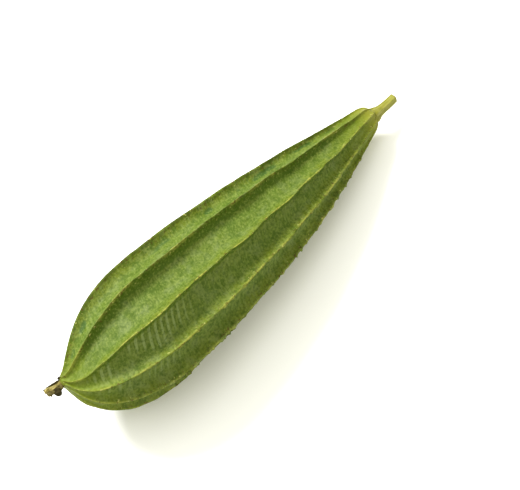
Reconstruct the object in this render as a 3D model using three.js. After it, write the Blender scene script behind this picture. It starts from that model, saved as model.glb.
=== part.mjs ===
// A whole ridge gourd lying on its side: a ten-ridged fruit that is fattest
// near its blossom end and narrows to a neck, with the cut stem at the neck and
// the withered rest of the flower at the blunt tip.
//
// The fruit is drawn along +X from its blossom tip at x = 0, with +Z up, and is
// then laid down on the two ridges under its centre of mass. The origin is the
// middle of the underside of the whole part's bounding box.

import * as THREE from "three";
import { ParametricGeometry } from "three/addons/geometries/ParametricGeometry.js";
import { ConvexHull } from "three/addons/math/ConvexHull.js";
import { mergeVertices } from "three/addons/utils/BufferGeometryUtils.js";

// Driving dimensions, in millimetres and degrees.
const BODY_LENGTH = 200;
const BELLY_RADIUS = 29;
const BELLY_PLACE = 0.24; // where the fruit is fattest, as a share of its length
const TIP_RADIUS = 2.6;
const TIP_SHARPNESS = 1.33; // of the blunt end: 1 is a quarter of an ellipse
const TAPER_POWER = 1.8; // of the long end: 1 is a straight cone
const SHOULDER_RADIUS = 6; // the blunt shoulder round the stem
const SHOULDER_LENGTH = 2.4;
const NECK_END_RADIUS = 3.6;

const RIDGE_COUNT = 10;
const VALLEY_DEPTH = 0.16; // of the local radius, below the line from crest to crest
const RIDGE_TWIST = 2; // turn of the ridges over the whole length
const TIP_TURN = -21; // the ridges swirl by this much more into the tip
const TIP_TURN_REACH = 14;
const RIDGE_TURN = 17; // angle from straight up to the ridge beside it
const RIDGE_CROWDING = 3; // the ridges draw together by this angle on two opposite sides

const TIP_OFFSET = 4.5; // the tip stands this far to the side of the belly's middle
const TIP_LIFT = 4;
const TIP_REACH = 2.2; // length over which the tip returns to the middle
const CHIN_DROP = 2.2; // sideways bulge, away from the tip
const CHIN_REACH = 9.5; // where the bulge is greatest
const NECK_BEND = 5; // sideways, over the stem half
const ARCH_HEIGHT = 2.4;

const STEM_LENGTH = 14;
const STEM_RADIUS = 2.3;
const STEM_BASE_RADIUS = 3.2;
const STEM_CUT_RADIUS = 2.5;
const STEM_OFFSET = 1; // the stem grows to one side of the neck's middle

const BLOSSOM_LENGTH = 7.5;
const BLOSSOM_RADIUS = 1.7;
const BLOSSOM_KNOB_RADIUS = 2.4;

const GAP = 0.3; // between the fruit and each piece that grows on it
const CAP_RISE = 0.6; // the fruit's two end faces are shallow cones

// Facets.
const COLUMNS_PER_RIDGE = 6;
const BODY_RINGS = 42;
const OUTLINE_STEPS = 12; // on each side of the belly
const SMALL_PIECE_SIDES = 16;
const SMALL_PIECE_RINGS = 9;

const skin = new THREE.MeshStandardMaterial({ color: 0x5d7027, roughness: 0.6, metalness: 0 });
const stalk = new THREE.MeshStandardMaterial({ color: 0x8f8e3f, roughness: 0.65, metalness: 0 });
const withered = new THREE.MeshStandardMaterial({ color: 0x7c6a46, roughness: 0.9, metalness: 0 });

function radians(degrees) {
  return THREE.MathUtils.degToRad(degrees);
}

function smoothOutline(points) {
  const corners = points.map(([along, radius]) => new THREE.Vector3(along, radius, 0));
  return new THREE.CatmullRomCurve3(corners, false, "centripetal");
}

// The fruit's outline as [distance along the axis, radius to the crests]: a
// blunt round end up to the belly, a long taper down to the shoulder, and the
// step from the shoulder to the neck's end.
function fruitOutline() {
  const belly = BELLY_PLACE * BODY_LENGTH;
  const shoulder = BODY_LENGTH - SHOULDER_LENGTH;
  const points = [];
  for (let step = 0; step <= OUTLINE_STEPS; step += 1) {
    const turn = ((Math.PI / 2) * step) / OUTLINE_STEPS;
    const climb = Math.sin(turn) ** TIP_SHARPNESS;
    const radius = THREE.MathUtils.lerp(TIP_RADIUS, BELLY_RADIUS, climb);
    points.push([belly * (1 - Math.cos(turn)), radius]);
  }
  for (let step = 1; step <= OUTLINE_STEPS; step += 1) {
    const share = step / OUTLINE_STEPS;
    const radius = THREE.MathUtils.lerp(BELLY_RADIUS, SHOULDER_RADIUS, share ** TAPER_POWER);
    points.push([THREE.MathUtils.lerp(belly, shoulder, share), radius]);
  }
  points.push([BODY_LENGTH, NECK_END_RADIUS]);
  return points;
}

// The fruit's middle line: the tip off to one side, the chin bulging to the
// other, an arched back and a neck that bends sideways.
function middleAt(along) {
  const share = along / BODY_LENGTH;
  const tip = Math.exp(-along / TIP_REACH);
  const chin = (along / CHIN_REACH) * Math.exp(1 - along / CHIN_REACH);
  const neck = Math.max(0, 2 * share - 1);
  const side = TIP_OFFSET * tip - CHIN_DROP * chin + NECK_BEND * neck * neck;
  const lift = TIP_LIFT * tip + ARCH_HEIGHT * Math.sin(Math.PI * share);
  return new THREE.Vector3(along, side, lift);
}

function ridgeAngle(ridge, along) {
  const even = (360 / RIDGE_COUNT) * ridge;
  const drift = RIDGE_CROWDING * Math.cos(radians(2 * even));
  const swirl = TIP_TURN * Math.exp(-along / TIP_TURN_REACH);
  const twist = RIDGE_TWIST * (along / BODY_LENGTH - 0.5);
  return radians(RIDGE_TURN + even + drift + swirl + twist);
}

// A section is a ring of sharp crests joined by hollow valleys. turn runs from
// 0 to RIDGE_COUNT round the fruit, with a crest at each whole number.
function sectionPoint(turn, along, radius) {
  const ridge = Math.min(Math.floor(turn), RIDGE_COUNT - 1);
  const across = turn - ridge;
  const first = ridgeAngle(ridge, along);
  const last = ridgeAngle(ridge + 1, along);
  const middle = (first + last) / 2;
  const chord = new THREE.Vector2(
    THREE.MathUtils.lerp(Math.cos(first), Math.cos(last), across),
    THREE.MathUtils.lerp(Math.sin(first), Math.sin(last), across),
  );
  const sag = 4 * VALLEY_DEPTH * across * (1 - across);
  chord.x -= sag * Math.cos(middle);
  chord.y -= sag * Math.sin(middle);
  return chord.multiplyScalar(radius);
}

function bodyPoint(turn, along, radius) {
  const section = sectionPoint(turn, along, radius);
  const middle = middleAt(THREE.MathUtils.clamp(along, 0, BODY_LENGTH));
  return new THREE.Vector3(along, middle.y - section.y, middle.z + section.x);
}

// The last and the first step along the outline run to the axis, which closes
// the two ends.
function outlineAt(outline, share) {
  const step = share * BODY_RINGS;
  if (step < 0.5) {
    return new THREE.Vector3(-CAP_RISE, 0, 0);
  }
  if (step > BODY_RINGS - 0.5) {
    return new THREE.Vector3(BODY_LENGTH + CAP_RISE, 0, 0);
  }
  return outline.getPointAt(THREE.MathUtils.clamp((step - 1) / (BODY_RINGS - 2), 0, 1));
}

// One closed skin: equal corners are shared, and the triangles that the poles
// flatten to a line are left out.
function closedSkin(geometry) {
  geometry.deleteAttribute("normal");
  geometry.deleteAttribute("uv");
  const merged = mergeVertices(geometry, 1e-4);
  const corners = merged.index.array;
  const kept = [];
  for (let i = 0; i < corners.length; i += 3) {
    const [a, b, c] = corners.slice(i, i + 3);
    if (a !== b && b !== c && c !== a) {
      kept.push(a, b, c);
    }
  }
  merged.setIndex(kept);
  merged.computeVertexNormals();
  return merged;
}

function gourdBody() {
  const outline = smoothOutline(fruitOutline());
  const columns = RIDGE_COUNT * COLUMNS_PER_RIDGE;
  const surface = (u, v, target) => {
    const { x: along, y: radius } = outlineAt(outline, v);
    target.copy(bodyPoint(u * RIDGE_COUNT, along, radius));
  };
  const geometry = closedSkin(new ParametricGeometry(surface, columns, BODY_RINGS));
  return new THREE.Mesh(geometry, skin);
}

// A small turned piece along +Y, closed by a flat face at each end.
function turnedPiece(points, material) {
  const curve = smoothOutline(points);
  const side = curve.getPoints(SMALL_PIECE_RINGS).map((p) => new THREE.Vector2(p.y, p.x));
  const profile = [new THREE.Vector2(0, side[0].y), ...side, new THREE.Vector2(0, side.at(-1).y)];
  return new THREE.Mesh(new THREE.LatheGeometry(profile, SMALL_PIECE_SIDES), material);
}

function plantOn(mesh, base, direction) {
  const growth = direction.clone().normalize();
  mesh.quaternion.setFromUnitVectors(new THREE.Vector3(0, 1, 0), growth);
  mesh.position.copy(base).addScaledVector(growth, GAP);
  return mesh;
}

function cutStem() {
  const mesh = turnedPiece(
    [
      [0, STEM_BASE_RADIUS],
      [0.25 * STEM_LENGTH, STEM_RADIUS],
      [0.7 * STEM_LENGTH, STEM_RADIUS],
      [STEM_LENGTH, STEM_CUT_RADIUS],
    ],
    stalk,
  );
  const base = middleAt(BODY_LENGTH);
  base.x += CAP_RISE;
  base.y -= STEM_OFFSET;
  return plantOn(mesh, base, new THREE.Vector3(1, 0, 0));
}

function driedBlossom() {
  const mesh = turnedPiece(
    [
      [0, 0.8 * BLOSSOM_RADIUS],
      [0.25 * BLOSSOM_LENGTH, BLOSSOM_KNOB_RADIUS],
      [0.6 * BLOSSOM_LENGTH, BLOSSOM_RADIUS],
      [BLOSSOM_LENGTH, 1.1 * BLOSSOM_RADIUS],
    ],
    withered,
  );
  const base = middleAt(0);
  base.x -= CAP_RISE;
  return plantOn(mesh, base, new THREE.Vector3(-1, 0.12, 0.1));
}

function meshCorners(mesh) {
  const position = mesh.geometry.attributes.position;
  const corners = [];
  for (let i = 0; i < position.count; i += 1) {
    corners.push(new THREE.Vector3().fromBufferAttribute(position, i));
  }
  return corners;
}

function centreOfMass(mesh) {
  const corners = meshCorners(mesh);
  const index = mesh.geometry.index.array;
  const weighted = new THREE.Vector3();
  let total = 0;
  for (let i = 0; i < index.length; i += 3) {
    const [a, b, c] = [corners[index[i]], corners[index[i + 1]], corners[index[i + 2]]];
    const volume = a.dot(b.clone().cross(c)) / 6;
    const middle = a.clone().add(b).add(c).divideScalar(4);
    weighted.addScaledVector(middle, volume);
    total += volume;
  }
  return weighted.divideScalar(total);
}

function hullTriangle(face) {
  const corner = (i) => face.getEdge(i).head().point;
  return new THREE.Triangle(corner(0), corner(1), corner(2));
}

// The face of the fruit's hull that it lies on: the lowest one that has the
// centre of mass straight above it.
function restingNormal(mesh) {
  const heart = centreOfMass(mesh);
  const hull = new ConvexHull().setFromPoints(meshCorners(mesh));
  const bearing = hull.faces.filter((face) => {
    const foot = heart.clone().addScaledVector(face.normal, -face.distanceToPoint(heart));
    return face.normal.z < 0 && hullTriangle(face).containsPoint(foot);
  });
  bearing.sort((a, b) => a.normal.z - b.normal.z);
  return bearing[0].normal;
}

function layDown(fruit, body) {
  fruit.quaternion.setFromUnitVectors(restingNormal(body), new THREE.Vector3(0, 0, -1));
  const part = new THREE.Group().add(fruit);
  part.updateMatrixWorld(true);
  const box = new THREE.Box3().setFromObject(part, true);
  const centre = box.getCenter(new THREE.Vector3());
  fruit.position.set(-centre.x, -centre.y, -box.min.z);
  return part;
}

function named(name, mesh) {
  mesh.name = name;
  return mesh;
}

const body = named("gourd_body", gourdBody());
const fruit = new THREE.Group();
fruit.add(body);
fruit.add(named("stem", cutStem()));
fruit.add(named("dried_blossom", driedBlossom()));

export default layDown(fruit, body);
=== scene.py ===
"""A whole ridge gourd lying on a pale floor.

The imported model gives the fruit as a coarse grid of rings. This script reads the
lines of its ten crests and ten valleys from that grid, draws a fine skin between
them with the knobs, lips and creases of a real rind, and adds a grown stem and
the withered flower. Lengths are worked out in millimetres and put into the
meshes in metres.
"""

import math

import bpy
import numpy as np
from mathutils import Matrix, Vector


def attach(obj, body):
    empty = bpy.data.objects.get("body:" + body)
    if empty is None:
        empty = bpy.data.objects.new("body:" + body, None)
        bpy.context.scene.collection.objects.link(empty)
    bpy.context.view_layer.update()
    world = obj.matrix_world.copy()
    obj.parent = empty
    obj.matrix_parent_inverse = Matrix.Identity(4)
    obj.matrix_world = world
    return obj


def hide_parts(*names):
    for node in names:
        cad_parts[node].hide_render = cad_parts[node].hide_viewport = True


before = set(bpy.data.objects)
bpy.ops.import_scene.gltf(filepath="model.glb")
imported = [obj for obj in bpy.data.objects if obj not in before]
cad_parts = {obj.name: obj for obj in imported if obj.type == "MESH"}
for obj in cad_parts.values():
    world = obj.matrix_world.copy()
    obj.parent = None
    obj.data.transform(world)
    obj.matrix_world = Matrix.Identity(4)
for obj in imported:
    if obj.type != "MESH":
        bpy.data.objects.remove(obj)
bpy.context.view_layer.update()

MM = 0.001

# The fine skin.
RIDGES = 10
ROWS = 384
COLUMNS_PER_RIB = 24
CREST_CROWDING = 0.6
KEEL_POWER = 4.0
RIB_LEAN = 1.25
END_SMOOTHING = 12
VALLEY_DEEPER = 1.2

# Relief of the rind, in millimetres.
CREST_SWAY = 0.55
CREST_SWELL = 0.4
LIP_HEIGHT = 0.16
LIP_WIDTH = 0.55
KNOB_HEIGHT = 0.7
KNOB_SPACING = 3.4
WAVE_HEIGHT = 0.25
WAVE_CELL = 11
DIMPLE_HEIGHT = 0.24
DIMPLE_CELL = 4.5
GRAIN_HEIGHT = 0.08
GRAIN_CELL = 2.4
FINE_GRAIN_HEIGHT = 0.05
FINE_GRAIN_CELL = 1.1
# Width of the painted shade under one side of each crest, a colour and not relief.
PAINTED_SHADE_WIDTH = 3.0

# How strongly each ridge is knobbed, how pale its crest is (below 0 is dark), and
# how dark the painted shade is on the skin under one side of it.
RIDGE_KNOBS = (0.5, 0.45, 0.3, 0.6, 0.9, 0.7, 1.4, 2.2, 2.2, 0.9)
RIDGE_PALENESS = (0.9, 0.8, -0.8, 0.5, 0.7, -0.4, 0.8, 0.6, 0.6, 0.9)
RIDGE_PAINTED_SHADE = (0.7, 1.0, 0.25, 0.6, 0.5, 0.6, 0.7, 0.6, 0.5, 0.6)

# How strongly the rib after each crest is grooved along its floor, and folded.
RIB_GROOVES = (0.1, 1.0, 0.5, 0.3, 0.5, 0.3, 0.4, 0.5, 0.6, 0.2)
RIB_FOLDS = (0.05, 0.2, 0.3, 0.5, 0.3, 0.4, 0.4, 0.3, 0.4, 1.0)
CREASE_SLANT = 0.42
CREASE_PITCH = 1.9
CREASE_DEPTH = 0.05
FOLD_PITCH = 3.5
FOLD_DEPTH = 0.2
GROOVE_DEPTH = 0.35
GROOVE_PLACE = 0.85
GROOVE_WIDTH = 1.1

# The stem, in shares of its length from the fruit, and its radius at each in
# millimetres. It starts a little inside the fruit and ends in a rounded cut.
STEM_ROOT = -0.16
STEM_CAP = 0.96
STEM_PLACES = (STEM_ROOT, 0.0, 0.14, 0.3, 0.6, 0.85, 1.0)
STEM_RADII = (3.9, 3.55, 2.9, 2.5, 2.35, 2.35, 2.3)
STEM_ROWS = 64
STEM_CAP_ROWS = 12
STEM_COLUMNS = 60

# The withered flower's pods: start and end along, right and up from its base and
# the greatest radius, all in millimetres, then squareness (2 is a ball) and rot.
PODS = (
    ((-1.4, 0.6, 0.0), (7.5, 1.0, 0.0), 1.25, 8, 0.0),
    ((-1.0, -0.7, 0.0), (7.2, -0.5, -0.2), 1.15, 6, 0.6),
    ((0.9, -1.7, -0.1), (4.4, -1.9, -0.2), 1.75, 2, 0.95),
    ((-0.6, 1.9, 0.9), (6.4, 2.1, 0.8), 0.42, 6, 0.9),
    ((-1.9, 2.5, 0.9), (-0.3, 2.9, 0.7), 0.6, 2, 1.0),
    ((4.4, -0.8, 0.2), (6.3, -2.3, 0.0), 0.17, 6, 1.0),
    ((6.2, 1.9, 0.1), (7.5, 2.1, 0.0), 0.5, 2, 0.9),
)
POD_ROWS = 36
POD_COLUMNS = 28

# The camera looks down on the lying fruit, along it from the tip's side.
CAMERA_AZIMUTH = math.radians(-46.2)
CAMERA_ELEVATION = math.radians(65.8)
CAMERA_DISTANCE = 0.583
CAMERA_LENS = 90
AIM_RIGHT = 0.0088
AIM_UP = -0.0031
AIM_HEIGHT = 0.028

FLOOR_HALF_WIDTH = 3.0
WARM_LIGHT = (1.0, 0.98, 0.8)
WORLD_STRENGTH = 0.55


# ---------------------------------------------------------------- numbers


def smooth_step(value, low, high):
    share = np.clip((value - low) / (high - low), 0, 1)
    return share * share * (3 - 2 * share)


def cell_noise(points, cell, seed):
    """Smooth noise from -1 to 1 over points whose last axis is x, y, z."""
    size = 32
    lattice = np.random.default_rng(seed).uniform(-1, 1, (size, size, size))
    place = np.asarray(points, float) / cell
    corner = np.floor(place).astype(int)
    share = place - corner
    share = share * share * (3 - 2 * share)
    total = np.zeros(place.shape[:-1])
    for dx in (0, 1):
        for dy in (0, 1):
            for dz in (0, 1):
                index = (corner + (dx, dy, dz)) % size
                weight = np.where((dx, dy, dz), share, 1 - share).prod(-1)
                total += weight * lattice[index[..., 0], index[..., 1], index[..., 2]]
    return total


def line_noise(along, lane, cell, seed):
    """Smooth noise along each of several lanes, such as crests."""
    along, lane = np.broadcast_arrays(along, lane)
    points = np.stack([along, lane * cell * 3.7, lane * cell * 1.3], -1)
    return cell_noise(points, cell, seed)


def unit(vectors):
    return vectors / np.maximum(np.linalg.norm(vectors, axis=-1, keepdims=True), 1e-12)


def curve_through(points, knots, at):
    """A smooth curve through points at the rising knots, read at the values at."""
    steps = np.diff(knots).reshape(-1, *([1] * (points.ndim - 1)))
    slopes = np.diff(points, axis=0) / steps
    inner = (slopes[:-1] * steps[1:] + slopes[1:] * steps[:-1]) / (steps[:-1] + steps[1:])
    tangents = np.concatenate([slopes[:1], inner, slopes[-1:]])
    span = np.clip(np.searchsorted(knots, at, side="right") - 1, 0, len(knots) - 2)
    shape = (-1, *([1] * (points.ndim - 1)))
    width = steps[span]
    t = ((at - knots[span]) / np.diff(knots)[span]).reshape(shape)
    start = (2 * t**3 - 3 * t**2 + 1) * points[span]
    start += (t**3 - 2 * t**2 + t) * width * tangents[span]
    end = (3 * t**2 - 2 * t**3) * points[span + 1]
    end += (t**3 - t**2) * width * tangents[span + 1]
    return start + end


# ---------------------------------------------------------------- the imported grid


def welded(mesh):
    """The mesh's distinct corners in millimetres, and its triangles."""
    corners = np.empty(len(mesh.vertices) * 3, np.float32)
    mesh.vertices.foreach_get("co", corners)
    corners = corners.reshape(-1, 3).astype(float) / MM
    mesh.calc_loop_triangles()
    triangles = np.empty(len(mesh.loop_triangles) * 3, np.int32)
    mesh.loop_triangles.foreach_get("vertices", triangles)
    _, first, same = np.unique(corners.round(3), axis=0, return_index=True, return_inverse=True)
    return corners[first], same.reshape(-1)[triangles].reshape(-1, 3)


def neighbour_sets(count, triangles):
    neighbours = [set() for _ in range(count)]
    for a, b, c in triangles:
        neighbours[a].update((b, c))
        neighbours[b].update((a, c))
        neighbours[c].update((a, b))
    return neighbours


def ring_angles(ring):
    middle = ring.mean(0)
    return np.arctan2(ring[:, 1] - middle[1], ring[:, 2] - middle[2])


def crests_and_valleys(ring, start_angle):
    """A ring's crests, and the valley after each, from the crest nearest to start_angle."""
    ring = ring[np.argsort(ring_angles(ring))]
    columns = len(ring) // RIDGES
    radius = np.linalg.norm(ring - ring.mean(0), axis=-1)
    phase = int(np.argmax(radius.reshape(RIDGES, columns).mean(0)))
    crests = ring[phase::columns]
    valleys = np.roll(ring, -(columns // 2), axis=0)[phase::columns]
    apart = np.angle(np.exp(1j * (ring_angles(crests) - start_angle)))
    first = int(np.argmin(np.abs(apart)))
    return np.roll(crests, -first, axis=0), np.roll(valleys, -first, axis=0)


def rings_from_tip(points, triangles):
    """The corners of each ring from tip to stem, and the two points that close the ends."""
    neighbours = neighbour_sets(len(points), triangles)
    busiest = sorted(range(len(points)), key=lambda i: len(neighbours[i]))[-2:]
    tip, end = sorted(busiest, key=lambda i: points[i][0])
    seen = {tip}
    front = neighbours[tip]
    rings = []
    while end not in front:
        rings.append(points[sorted(front)])
        seen |= front
        front = set().union(*(neighbours[i] for i in front)) - seen
    return rings, points[tip], points[end]


def crest_and_valley_lines():
    """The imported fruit's crests and valleys, two arrays of rows x ridges x 3."""
    rings, tip, end = rings_from_tip(*welded(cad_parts["gourd_body"].data))
    start_angle = 0.0
    crests = [np.tile(tip, (RIDGES, 1))]
    valleys = [np.tile(tip, (RIDGES, 1))]
    for ring in rings:
        ring_crests, ring_valleys = crests_and_valleys(ring, start_angle)
        start_angle = ring_angles(ring_crests)[0]
        crests.append(ring_crests)
        valleys.append(ring_valleys)
    crests.append(np.tile(end, (RIDGES, 1)))
    valleys.append(np.tile(end, (RIDGES, 1)))
    return np.array(crests), np.array(valleys)


# ---------------------------------------------------------------- the rind


def rounded_ends(lines):
    """The lines with the corners at the fruit's ends worn round."""
    lines = lines.copy()
    for _ in range(END_SMOOTHING):
        lines[1:-1] = (lines[:-2] + 2 * lines[1:-1] + lines[2:]) / 4
    return lines


def refined_lines():
    crests, valleys = crest_and_valley_lines()
    step = np.linalg.norm(np.diff(crests, axis=0), axis=-1).mean(1)
    knots = np.concatenate([[0], np.cumsum(step)])
    along = np.linspace(0, knots[-1], ROWS)
    crests = rounded_ends(curve_through(crests, knots, along))
    return crests, rounded_ends(curve_through(valleys, knots, along)), along


def uneven_crests(crests, along):
    """Crests that wander a little sideways, and stand higher and lower."""
    middle = crests.mean(1, keepdims=True)
    outward = unit(crests - middle)
    sideways = unit(np.cross(outward, (1.0, 0.0, 0.0)))
    radius = np.linalg.norm(crests - middle, axis=-1)
    body = smooth_step(radius, 4, 14)
    lane = np.arange(RIDGES)[None, :]
    run = along[:, None]
    sway = line_noise(run, lane, 14, 11) + 0.4 * line_noise(run, lane, 5, 12)
    swell = line_noise(run, lane, 18, 13) + 0.5 * line_noise(run, lane, 6, 14)
    crests = crests + sideways * (CREST_SWAY * body * sway)[..., None]
    return crests + outward * (CREST_SWELL * body * swell)[..., None]


def across_shares():
    """Places across a rib from 0 to 1, crowded towards the crests."""
    even = np.arange(COLUMNS_PER_RIB) / COLUMNS_PER_RIB
    crowded = 0.5 - 0.5 * np.cos(np.pi * even)
    return (1 - CREST_CROWDING) * even + CREST_CROWDING * crowded


def rib_surface(crests, valleys):
    """Hollow ribs hung between neighbouring crests: rows x columns x 3."""
    share = across_shares()[None, None, :, None]
    left = crests[:, :, None]
    right = np.roll(crests, -1, axis=1)[:, :, None]
    chord = left + (right - left) * share
    hollow = VALLEY_DEEPER * (valleys[:, :, None] - (left + right) / 2)
    growth = np.linspace(0, 1, ROWS)[:, None, None, None]
    hollow = hollow * (1 - 0.6 * smooth_step(growth, 0.82, 0.99))
    hollow = hollow * smooth_step(growth, -0.05, 0.07)
    depth = 1 - np.abs(2 * share**RIB_LEAN - 1) ** KEEL_POWER
    surface = chord + hollow * depth
    width = np.linalg.norm(right - left, axis=-1)
    from_left = share[..., 0] * width
    from_right = width - from_left
    across = np.minimum(from_left, from_right)
    distances = [values.reshape(ROWS, -1) for values in (across, from_left, from_right)]
    return surface.reshape(ROWS, -1, 3), *distances


def outward_normals(surface):
    round_way = np.roll(surface, -1, axis=1) - np.roll(surface, 1, axis=1)
    long_way = np.gradient(surface, axis=0)
    normals = unit(np.cross(long_way, round_way))
    middle = surface.mean(1, keepdims=True)
    facing = np.sign((normals * (surface - middle)).sum(-1).mean())
    return normals * facing


def knob_relief(along, lane, across):
    """Small knobs strung unevenly along each crest, none of them near the ends."""
    rng = np.random.default_rng(31)
    relief = np.zeros(np.broadcast(along, lane, across).shape)
    for ridge in range(RIDGES):
        on_ridge = lane == ridge
        strength = KNOB_HEIGHT * RIDGE_KNOBS[ridge]
        place = rng.uniform(0, KNOB_SPACING)
        while place < along.max():
            size = rng.uniform(0.6, 1.3)
            height = strength * rng.uniform(-0.3, 1.0)
            bump = np.exp(-(((along - place) / size) ** 2) - (across / 1.0) ** 2)
            relief += np.where(on_ridge, height * bump, 0)
            place += KNOB_SPACING * rng.uniform(0.3, 1.8)
    growth = along / along.max()
    return relief * smooth_step(growth, 0.1, 0.3) * (1 - smooth_step(growth, 0.8, 0.95))


def crest_paleness(along, lane):
    """How pale each crest is along its length, from -1 (dark) to 1, in broken lengths."""
    own = np.array(RIDGE_PALENESS)[lane]
    broken = 0.5 + 0.5 * line_noise(along, lane, 7, 51) + 0.35 * line_noise(along, lane, 2.5, 52)
    at_tip = 1 - smooth_step(along / along.max(), 0.03, 0.14)
    return np.clip(own * smooth_step(broken, 0.15, 0.95) + 0.5 * at_tip, -1, 1)


def crease_pattern(along, rib, across, points):
    """Short creases that run down each face from its crest, from -1 to 1."""
    bend = 0.9 * line_noise(along, rib, 9, 21) + 0.25 * cell_noise(points, 4, 22)
    wave = np.cos(2 * np.pi * (along / CREASE_PITCH + bend))
    patches = smooth_step(cell_noise(points, 11, 23), -0.35, 0.55)
    reach = smooth_step(across, 0.4, 2.0) * (1 - 0.55 * smooth_step(across, 5, 9))
    return wave * patches * reach


def fold_pattern(along, growth, rib, across, from_left, points):
    """Broader folds across the faces, mostly near the flower's end."""
    bend = 1.1 * line_noise(along, rib, 16, 25)
    wave = np.cos(2 * np.pi * (along / FOLD_PITCH + bend))
    patches = smooth_step(cell_noise(points, 9, 26), -0.7, 0.3)
    lower = smooth_step(growth, 0.02, 0.07) * (1 - 0.8 * smooth_step(growth, 0.22, 0.4))
    reach = smooth_step(across, 0.8, 2.5) * smooth_step(from_left, 2, 6)
    return wave * patches * reach * lower * np.array(RIB_FOLDS)[rib]


def groove_pattern(along, rib, across, from_left, points):
    """A broken groove along the floor of each rib, from 0 to 1; the skin also gets painted shade along
    it.
    """
    width = from_left[:, COLUMNS_PER_RIB - 1 :: COLUMNS_PER_RIB]
    middle = GROOVE_PLACE * np.repeat(width, COLUMNS_PER_RIB, axis=1)
    wander = 0.9 * line_noise(along, rib, 10, 54) + 0.4 * cell_noise(points, 3, 55)
    narrow = np.exp(-(((from_left - middle) / GROOVE_WIDTH + wander) ** 2))
    broken = smooth_step(line_noise(along, rib, 6, 53), -0.15, 0.35)
    return narrow * broken * np.array(RIB_GROOVES)[rib] * smooth_step(across, 0.5, 1.5)


def rind_relief(surface, across, run, lane, patterns):
    """How far each point of the skin stands out, in millimetres."""
    radius = np.linalg.norm(surface - surface.mean(1, keepdims=True), axis=-1)
    relief = LIP_HEIGHT * np.exp(-((across / LIP_WIDTH) ** 2))
    relief += knob_relief(run, lane, across)
    relief += CREASE_DEPTH * patterns["creases"]
    relief += FOLD_DEPTH * patterns["folds"]
    relief -= GROOVE_DEPTH * patterns["grooves"]
    relief += WAVE_HEIGHT * cell_noise(surface, WAVE_CELL, 41) * smooth_step(across, 0, 4)
    relief += DIMPLE_HEIGHT * cell_noise(surface, DIMPLE_CELL, 44) * smooth_step(across, 0.5, 3)
    relief *= smooth_step(radius, 3, 10)
    relief += GRAIN_HEIGHT * cell_noise(surface, GRAIN_CELL, 42)
    return relief + FINE_GRAIN_HEIGHT * cell_noise(surface, FINE_GRAIN_CELL, 43)


def rind_fields():
    """The fine skin's points, and the numbers that its material reads at each point."""
    crests, valleys, along = refined_lines()
    crests = uneven_crests(crests, along)
    surface, across, from_left, from_right = rib_surface(crests, valleys)
    column = np.arange(RIDGES * COLUMNS_PER_RIB)
    rib = (column // COLUMNS_PER_RIB)[None, :]
    past_middle = across_shares()[column % COLUMNS_PER_RIB] > 0.5
    lane = (rib + past_middle) % RIDGES
    run = along[:, None]
    growth = run / along.max()
    slanted = run - CREASE_SLANT * from_left
    patterns = {
        "creases": crease_pattern(slanted, rib, across, surface),
        "folds": fold_pattern(slanted, growth, rib, across, from_left, surface),
        "grooves": groove_pattern(run, rib, across, from_left, surface),
    }
    relief = rind_relief(surface, across, run, lane, patterns)
    surface = surface + outward_normals(surface) * relief[..., None]
    surface[..., 2] = np.maximum(surface[..., 2], 0)
    # Painted shade: how dark the skin is painted next to the crest at each rib's right end.
    shade = np.array(RIDGE_PAINTED_SHADE)[(rib + 1) % RIDGES]
    ribs_apart = np.broadcast_to(rib * 7.3, across.shape)
    return {
        "surface": surface,
        "rind": np.stack([slanted, from_left, ribs_apart], -1),
        "across": across,
        "growth": np.broadcast_to(growth, across.shape),
        # painted shade mask under one side of each crest
        "painted_shade_under_crest": np.exp(-((from_right / PAINTED_SHADE_WIDTH) ** 4)) * shade,
        "paleness": crest_paleness(run, lane),
        **patterns,
    }


def closed_grid_faces(rows, columns):
    """Quads between the inner rows, and a fan at each end. The end rows are one point each."""
    def index(row, column):
        return 1 + (row - 1) * columns + column % columns

    last = 1 + (rows - 2) * columns
    faces = []
    for column in range(columns):
        faces.append((0, index(1, column), index(1, column + 1)))
        faces.append((last, index(rows - 2, column + 1), index(rows - 2, column)))
    for row in range(1, rows - 2):
        for column in range(columns):
            below = (index(row, column), index(row + 1, column))
            faces.append((*below, index(row + 1, column + 1), index(row, column + 1)))
    return faces


def without_repeats(grid):
    """The end rows hold the same point in every column, so each is kept once."""
    flat = grid[1:-1].reshape(-1, *grid.shape[2:])
    return np.concatenate([grid[:1, 0], flat, grid[-1:, 0]])


def signed_volume(points, faces):
    total = 0.0
    for face in faces[:: max(1, len(faces) // 4000)]:
        a, b, c = points[face[0]], points[face[1]], points[face[2]]
        total += float(np.dot(a, np.cross(b, c)))
    return total


def mesh_piece(name, points, faces, material):
    """A smooth-shaded piece from points in millimetres."""
    centred = points - points.mean(0)
    if signed_volume(centred, faces) < 0:
        faces = [tuple(reversed(face)) for face in faces]
    mesh = bpy.data.meshes.new(name)
    mesh.from_pydata((points * MM).tolist(), [], faces)
    mesh.materials.append(material)
    mesh.shade_smooth()
    mesh.update()
    piece = bpy.data.objects.new(name, mesh)
    bpy.context.scene.collection.objects.link(piece)
    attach(piece, "root")
    return piece


def add_number_attribute(piece, name, values):
    attribute = piece.data.attributes.new(name, "FLOAT", "POINT")
    attribute.data.foreach_set("value", np.ascontiguousarray(values, np.float32))


def add_vector_attribute(piece, name, values):
    attribute = piece.data.attributes.new(name, "FLOAT_VECTOR", "POINT")
    attribute.data.foreach_set("vector", np.ascontiguousarray(values, np.float32).reshape(-1))


def make_rind(material):
    fields = rind_fields()
    points = without_repeats(fields["surface"])
    faces = closed_grid_faces(ROWS, RIDGES * COLUMNS_PER_RIB)
    piece = mesh_piece("gourd_rind", points, faces, material)
    for name in ("across", "growth", "painted_shade_under_crest", "creases", "folds", "grooves", "paleness"):
        add_number_attribute(piece, name, without_repeats(fields[name]))
    add_vector_attribute(piece, "rind", without_repeats(fields["rind"]))
    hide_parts("gourd_body")


# ---------------------------------------------------------------- material helpers


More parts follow.
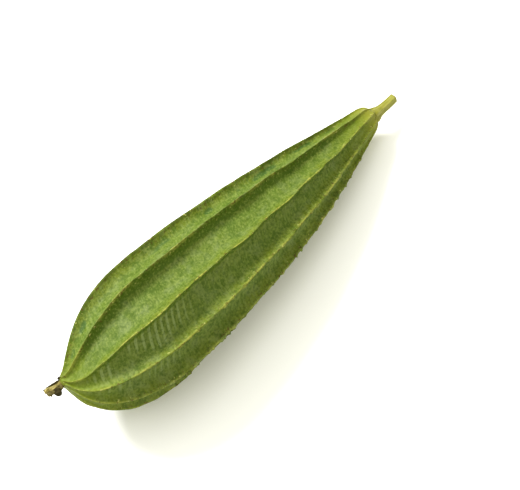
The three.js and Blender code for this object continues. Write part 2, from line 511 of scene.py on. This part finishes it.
class Nodes:
    """A material's node tree, with its Principled shader."""

    def __init__(self, name, roughness, specular=0.5):
        self.material = bpy.data.materials.new(name)
        self.material.use_nodes = True
        self.tree = self.material.node_tree
        self.shader = self.tree.nodes["Principled BSDF"]
        self.shader.inputs["Roughness"].default_value = roughness
        self.shader.inputs["Specular IOR Level"].default_value = specular

    def put(self, socket, value):
        if isinstance(value, bpy.types.NodeSocket):
            self.tree.links.new(value, socket)
        else:
            socket.default_value = value

    def add(self, kind, **inputs):
        node = self.tree.nodes.new("ShaderNode" + kind)
        for name, value in inputs.items():
            self.put(node.inputs[name.replace("_", " ")], value)
        return node

    def attribute(self, name, output="Fac"):
        node = self.add("Attribute")
        node.attribute_name = name
        return node.outputs[output]

    def place(self):
        return self.add("TexCoord").outputs["Object"]

    def stretched(self, vector, scale):
        node = self.add("Mapping", Vector=vector)
        node.inputs["Scale"].default_value = scale
        return node.outputs["Vector"]

    def noise(self, vector, scale, detail=3.0, roughness=0.55):
        node = self.add("TexNoise", Vector=vector, Scale=scale, Detail=detail, Roughness=roughness)
        return node.outputs["Fac"]

    def ranged(self, value, low, high, new_low=0.0, new_high=1.0):
        node = self.add("MapRange", Value=value)
        node.interpolation_type = "SMOOTHSTEP"
        for name, number in (
            ("From Min", low),
            ("From Max", high),
            ("To Min", new_low),
            ("To Max", new_high),
        ):
            node.inputs[name].default_value = number
        return node.outputs["Result"]

    def maths(self, operation, first, second):
        node = self.add("Math")
        node.operation = operation
        self.put(node.inputs[0], first)
        self.put(node.inputs[1], second)
        return node.outputs[0]

    def mixed(self, factor, first, second):
        node = self.add("Mix")
        node.data_type = "RGBA"
        self.put(node.inputs[0], factor)
        self.put(node.inputs[6], first)
        self.put(node.inputs[7], second)
        return node.outputs[2]

    def layered(self, colour, *layers):
        """A colour with others laid over it, each a pair of its amount and the colour."""
        for amount, over in layers:
            colour = self.mixed(amount, colour, over)
        return colour

    def bump(self, height, distance, strength=1.0, normal=None):
        node = self.add("Bump", Height=height)
        node.inputs["Strength"].default_value = strength
        node.inputs["Distance"].default_value = distance
        if normal is not None:
            self.tree.links.new(normal, node.inputs["Normal"])
        return node.outputs["Normal"]

    def finish(self, colour, normal=None, roughness=None):
        self.put(self.shader.inputs["Base Color"], colour)
        if normal is not None:
            self.tree.links.new(normal, self.shader.inputs["Normal"])
        if roughness is not None:
            self.put(self.shader.inputs["Roughness"], roughness)
        return self.material


def srgb(red, green, blue):
    """A colour given as the eye's 0 to 255, as the shader's linear numbers."""
    def linear(part):
        part = part / 255
        return part / 12.92 if part <= 0.04045 else ((part + 0.055) / 1.055) ** 2.4

    return (linear(red), linear(green), linear(blue), 1.0)


# ---------------------------------------------------------------- materials


FACE_GREENS = (srgb(74, 93, 25), srgb(83, 99, 32))
BESIDE_CREST = srgb(92, 102, 16)
STREAK = srgb(102, 115, 54)
BLOOM = srgb(102, 114, 72)
MOTTLE = srgb(56, 77, 14)
CREASE = srgb(99, 115, 53)
FOLD = srgb(116, 130, 78)
# Painted shade: the darker green under one side of each crest.
PAINTED_SHADE_GREEN = srgb(54, 79, 3)
# Painted shade: the darker green in the grooves along the rib floors.
PAINTED_GROOVE_SHADE = srgb(44, 72, 26)
LIGHT_GRAIN = srgb(108, 120, 54)
DARK_GRAIN = srgb(54, 72, 8)
PALE_CREST = srgb(136, 138, 58)
DARK_CREST = srgb(54, 64, 10)
TIP = srgb(98, 112, 18)
NECK = srgb(96, 106, 22)
COLLAR = srgb(124, 124, 40)
BROWN_SPECK = srgb(70, 54, 17)
PALE_DOT = srgb(168, 166, 96)


def skin_noises(m):
    """The noises that the skin's colour and its bumps share, from coarse to fine."""
    place = m.place()
    stretched = m.stretched(m.attribute("rind", "Vector"), (1.5, 0.26, 1.0))
    return {
        "streaks": m.noise(stretched, 1.0, 4.0, 0.65),
        "clouds": m.noise(place, 38, 2.0),
        "bloom": m.noise(place, 150, 4.0, 0.6),
        "mottle": m.noise(place, 260, 4.0, 0.6),
        "ragged": m.noise(place, 420, 3.0),
        "dots": m.noise(place, 700, 1.0),
        "specks": m.noise(place, 900, 1.0),
        "fine": m.noise(place, 950, 2.0, 0.6),
        "grain": m.noise(place, 1500, 2.0, 0.7),
    }


def beside_crest(m, noises):
    """How near a crest is, with a ragged edge."""
    ragged = m.maths("MULTIPLY", noises["ragged"], 3.2)
    distance = m.maths("SUBTRACT", m.maths("ADD", m.attribute("across"), ragged), 1.6)
    return m.ranged(distance, 1.4, 4.2, 0.6, 0)


def painted_shade_band(m, noises):
    """Painted shade: a darker band under one side of each crest, mottled and absent at the tip."""
    band = m.maths("MULTIPLY", m.attribute("painted_shade_under_crest"), m.ranged(m.attribute("growth"), 0.03, 0.16))
    mottle = m.maths("MULTIPLY", m.maths("SUBTRACT", noises["mottle"], 0.5), 0.9)
    return m.ranged(m.maths("ADD", band, mottle), 0.2, 0.6, 0, 0.72)


def face_colour(m, noises):
    """The ribs' green, with streaks, mottling, creases and folds, painted shade under one side of each
    crest, and grooves darkened with painted shade.
    """
    return m.layered(
        m.mixed(m.ranged(noises["clouds"], 0.35, 0.65), *FACE_GREENS),
        (beside_crest(m, noises), BESIDE_CREST),
        (m.ranged(noises["streaks"], 0.44, 0.64, 0, 0.55), STREAK),
        (m.ranged(noises["bloom"], 0.5, 0.64, 0, 0.3), BLOOM),
        (m.ranged(noises["mottle"], 0.48, 0.66, 0, 0.65), MOTTLE),
        (m.ranged(m.attribute("creases"), 0.1, 0.9, 0, 0.22), CREASE),
        (m.ranged(m.attribute("folds"), 0.05, 0.55, 0, 0.8), FOLD),
        # painted shade under one side of each crest
        (painted_shade_band(m, noises), PAINTED_SHADE_GREEN),
        # painted shade in the grooves
        (m.ranged(m.attribute("grooves"), 0.1, 0.7, 0, 0.8), PAINTED_GROOVE_SHADE),
        (m.ranged(noises["fine"], 0.5, 0.7, 0, 0.6), LIGHT_GRAIN),
        (m.ranged(noises["fine"], 0.5, 0.32, 0, 0.6), DARK_GRAIN),
    )


def with_crest_lines(m, noises, colour):
    """A thin line along each crest, pale or dark as its paleness says."""
    paleness = m.attribute("paleness")
    line = m.ranged(m.attribute("across"), 0.1, 0.9, 1, 0)
    line = m.maths("MULTIPLY", line, m.ranged(noises["fine"], 0.35, 0.55, 0.45, 1))
    pale = m.maths("MULTIPLY", line, m.ranged(paleness, 0.0, 1.0, 0, 0.85))
    dark = m.maths("MULTIPLY", line, m.ranged(paleness, -0.7, 0.0, 0.9, 0))
    return m.layered(colour, (pale, PALE_CREST), (dark, DARK_CREST))


def with_yellowed_ends(m, colour):
    growth = m.attribute("growth")
    return m.layered(
        colour,
        (m.ranged(growth, 0.0, 0.15, 0.6, 0), TIP),
        (m.ranged(growth, 0.78, 0.96, 0, 0.6), NECK),
        (m.ranged(growth, 0.91, 0.975, 0, 0.8), COLLAR),
    )


def with_specks(m, noises, colour):
    """Brown specks and pale dots, only close to the crests."""
    near = m.ranged(m.attribute("across"), 0.5, 1.8, 1, 0)
    specks = m.maths("MULTIPLY", m.ranged(noises["specks"], 0.6, 0.68), near)
    dots = m.maths("MULTIPLY", m.ranged(noises["dots"], 0.68, 0.73), near)
    return m.layered(
        colour,
        (m.maths("MULTIPLY", specks, 0.75), BROWN_SPECK),
        (m.maths("MULTIPLY", dots, 0.7), PALE_DOT),
    )


def skin_material():
    m = Nodes("ridge_gourd_rind", roughness=0.62, specular=0.12)
    noises = skin_noises(m)
    colour = with_crest_lines(m, noises, face_colour(m, noises))
    colour = with_specks(m, noises, with_yellowed_ends(m, colour))
    normal = m.bump(noises["streaks"], 0.00035, 0.4)
    normal = m.bump(noises["mottle"], 0.0004, 0.4, normal)
    normal = m.bump(noises["grain"], 0.0001, 0.5, normal)
    return m.finish(colour, normal, m.ranged(noises["mottle"], 0.3, 0.7, 0.52, 0.68))


def stalk_material():
    """Yellow-green fibres along the stem, with a darker olive cut end."""
    m = Nodes("gourd_stalk", roughness=0.6, specular=0.25)
    place = m.place()
    fibres = m.noise(m.stretched(place, (60.0, 700.0, 700.0)), 1.0, 3.0)
    tones = m.noise(place, 300, 3.0)
    colour = m.mixed(m.ranged(fibres, 0.35, 0.65), srgb(108, 108, 26), srgb(132, 130, 56))
    colour = m.mixed(m.ranged(tones, 0.5, 0.7, 0, 0.4), colour, srgb(98, 104, 26))
    colour = m.mixed(m.maths("MULTIPLY", m.attribute("cut"), 0.8), colour, srgb(66, 66, 16))
    return m.finish(colour, m.bump(fibres, 0.0003, 0.6))


def withered_material():
    """Cream fibres that turn brown-black where the flower has rotted."""
    m = Nodes("withered_flower", roughness=0.85, specular=0.15)
    place = m.place()
    fibres = m.noise(m.stretched(place, (250.0, 1100.0, 1100.0)), 1.0, 4.0)
    tones = m.noise(place, 700, 3.0)
    rot = m.attribute("rot")
    colour = m.mixed(m.ranged(fibres, 0.35, 0.65), srgb(92, 82, 34), srgb(150, 138, 84))
    colour = m.mixed(m.ranged(tones, 0.52, 0.66, 0, 0.7), colour, srgb(52, 42, 14))
    colour = m.mixed(rot, colour, srgb(34, 28, 8))
    return m.finish(colour, m.bump(fibres, 0.0003, 0.8))


def floor_material():
    m = Nodes("pale_floor", roughness=0.7, specular=0.2)
    return m.finish((0.9, 0.9, 0.9, 1.0))


# ---------------------------------------------------------------- stem and flower


def small_piece_axis(node, near):
    """The ends of a turned piece's axis in millimetres, the one nearest to near first."""
    points, _ = welded(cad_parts[node].data)
    middle = points.mean(0)
    _, _, ways = np.linalg.svd(points - middle)
    reach = (points - middle) @ ways[0]
    ends = [middle + ways[0] * reach.min(), middle + ways[0] * reach.max()]
    ends.sort(key=lambda end: np.linalg.norm(end - near))
    return ends[0], ends[1]


def tube_frame(start, end):
    axis = unit(end - start)
    right = unit(np.cross(axis, (0.0, 0.0, 1.0)))
    return axis, right, np.cross(right, axis)


def tube_points(start, end, path_share, radii, bend):
    """Rings along a line from start to end. radii is rows x columns, bend is rows x 2."""
    axis, right, up = tube_frame(start, end)
    angle = np.linspace(0, 2 * np.pi, radii.shape[1], endpoint=False)[None, :, None]
    middle = start + (end - start) * path_share[:, None]
    middle = middle + right * bend[:, :1] + up * bend[:, 1:]
    ring = right * np.cos(angle) + up * np.sin(angle)
    return middle[:, None] + ring * radii[..., None]


def tube_skin(run, radius, angle):
    """Points on a plain tube along x, for noise that joins up round it."""
    run, angle = np.broadcast_arrays(run, angle)
    return np.stack([run, radius * np.cos(angle), radius * np.sin(angle)], -1)


def crest_ends():
    """The points that close the fruit at the flower's end and at the stem's end."""
    crests, _ = crest_and_valley_lines()
    return crests[0, 0], crests[-1, 0]


def stem_shares():
    """The stem's rows as shares of its length, and how far the cap draws each one in."""
    turn = np.linspace(0, np.pi / 2, STEM_CAP_ROWS)
    side_rows = STEM_ROWS - STEM_CAP_ROWS
    cap = STEM_CAP + (1 - STEM_CAP) * np.sin(turn)
    share = np.concatenate([np.linspace(STEM_ROOT, STEM_CAP, side_rows), cap])
    return share, np.concatenate([np.ones(side_rows), np.cos(turn) ** 0.6])


def stem_radii(share, inward):
    """The ribbed and wrinkled radius at each row and column."""
    profile = curve_through(np.array(STEM_RADII), np.array(STEM_PLACES), share)
    angle = np.linspace(0, 2 * np.pi, STEM_COLUMNS, endpoint=False)[None, :]
    skin = tube_skin(14 * share[:, None], 3, angle)
    ribs = 1 + 0.045 * np.cos(5 * angle + 0.6) + 0.03 * np.cos(10 * angle + 1.7)
    wrinkles = 1 + 0.03 * cell_noise(skin, 2.2, 61) + 0.03 * cell_noise(skin * (0.3, 2, 2), 1, 62)
    return (profile * inward)[:, None] * ribs * wrinkles


def make_stem(material):
    """A ribbed stalk, wider where it grows from the fruit, with a rounded cut end."""
    base, far = small_piece_axis("stem", crest_ends()[1])
    share, inward = stem_shares()
    bend = np.stack([0.2 * np.sin(share * 2.6), -0.15 * np.sin(share * 3.1)], -1)
    points = tube_points(base, far, share, stem_radii(share, inward), bend)
    points[0] = points[0].mean(0)
    points[-1] = points[-1].mean(0)
    faces = closed_grid_faces(STEM_ROWS, STEM_COLUMNS)
    piece = mesh_piece("cut_stem", without_repeats(points), faces, material)
    cut = np.repeat(smooth_step(share, 0.93, 0.975)[:, None], STEM_COLUMNS, axis=1)
    add_number_attribute(piece, "cut", without_repeats(cut))
    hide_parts("stem")


def withered_pod(start, end, widest, squareness, seed):
    """The points of a closed, wrinkled pod between two places."""
    share = np.linspace(0, 1, POD_ROWS)
    profile = widest * np.sqrt(1 - np.abs(2 * share - 1) ** squareness)
    angle = np.linspace(0, 2 * np.pi, POD_COLUMNS, endpoint=False)[None, :]
    run = np.linalg.norm(end - start) * share[:, None]
    skin = tube_skin(run, widest, angle)
    pleats = 1 + 0.12 * np.cos(5 * angle + 0.9 * run + seed)
    wrinkles = 1 + 0.2 * cell_noise(skin, 1.2, seed) + 0.08 * cell_noise(skin, 0.5, seed + 1)
    radii = profile[:, None] * pleats * wrinkles
    straight = np.zeros((POD_ROWS, 2))
    return without_repeats(tube_points(start, end, share, radii, straight))


def make_flower(material):
    """The withered flower: two tubes side by side, dark lobes, and loose shreds."""
    base, far = small_piece_axis("dried_blossom", crest_ends()[0])
    axis, right, up = tube_frame(base, far)
    pod_faces = closed_grid_faces(POD_ROWS, POD_COLUMNS)
    points = []
    faces = []
    rot = []
    for number, (start, end, widest, squareness, darkness) in enumerate(PODS):
        ends = [base + axis * along + right * side + up * rise for along, side, rise in (start, end)]
        pod = withered_pod(*ends, widest, squareness, 71 + 2 * number)
        first = number * len(pod)
        faces += [tuple(first + corner for corner in face) for face in pod_faces]
        points.append(pod)
        rot.append(np.full(len(pod), darkness))
    piece = mesh_piece("withered_flower", np.concatenate(points), faces, material)
    add_number_attribute(piece, "rot", np.concatenate(rot))
    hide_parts("dried_blossom")


# ---------------------------------------------------------------- stage, light and camera


def make_floor(material):
    half = FLOOR_HALF_WIDTH
    mesh = bpy.data.meshes.new("floor")
    corners = [(-half, -half, 0), (half, -half, 0), (half, half, 0), (-half, half, 0)]
    mesh.from_pydata(corners, [], [(0, 1, 2, 3)])
    mesh.materials.append(material)
    floor = bpy.data.objects.new("floor", mesh)
    bpy.context.scene.collection.objects.link(floor)


def camera_axes():
    """The camera's direction from the fruit, its right and its up."""
    out = Vector(
        (
            math.sin(CAMERA_AZIMUTH) * math.cos(CAMERA_ELEVATION),
            -math.cos(CAMERA_AZIMUTH) * math.cos(CAMERA_ELEVATION),
            math.sin(CAMERA_ELEVATION),
        )
    )
    right = Vector((math.cos(CAMERA_AZIMUTH), math.sin(CAMERA_AZIMUTH), 0))
    return out, right, out.cross(right)


def point_at(thing, direction):
    thing.rotation_euler = direction.to_track_quat("-Z", "Y").to_euler()


def make_camera():
    out, right, up = camera_axes()
    data = bpy.data.cameras.new("camera")
    data.lens = CAMERA_LENS
    data.sensor_width = 36
    data.clip_start = 0.01
    camera = bpy.data.objects.new("camera", data)
    bpy.context.scene.collection.objects.link(camera)
    aim = Vector((0, 0, AIM_HEIGHT)) + right * AIM_RIGHT + up * AIM_UP
    camera.location = aim + out * CAMERA_DISTANCE
    point_at(camera, -out)
    bpy.context.scene.camera = camera


def soft_light(name, direction, distance, size, power, colour=(1.0, 1.0, 1.0)):
    data = bpy.data.lights.new(name, "AREA")
    data.shape = "DISK"
    data.size = size
    data.energy = power
    data.color = colour
    light = bpy.data.objects.new(name, data)
    bpy.context.scene.collection.objects.link(light)
    light.location = direction.normalized() * distance
    point_at(light, -direction)


def make_light():
    out, right, up = camera_axes()
    key_side = out - 1.15 * right + 1.3 * up
    fill_side = out + 1.1 * right - 0.7 * up
    above = Vector((-0.2, 0.3, 1.0))
    soft_light("key", key_side, distance=1.4, size=0.5, power=38)
    soft_light("fill", fill_side, distance=1.6, size=1.6, power=15, colour=WARM_LIGHT)
    soft_light("overhead", above, distance=2.0, size=2.4, power=32)
    world = bpy.data.worlds.new("studio")
    world.use_nodes = True
    background = world.node_tree.nodes["Background"]
    background.inputs["Color"].default_value = (*WARM_LIGHT, 1.0)
    background.inputs["Strength"].default_value = WORLD_STRENGTH
    bpy.context.scene.world = world


bpy.context.scene.view_settings.view_transform = "Standard"
make_camera()
make_light()
make_floor(floor_material())
make_rind(skin_material())
make_stem(stalk_material())
make_flower(withered_material())
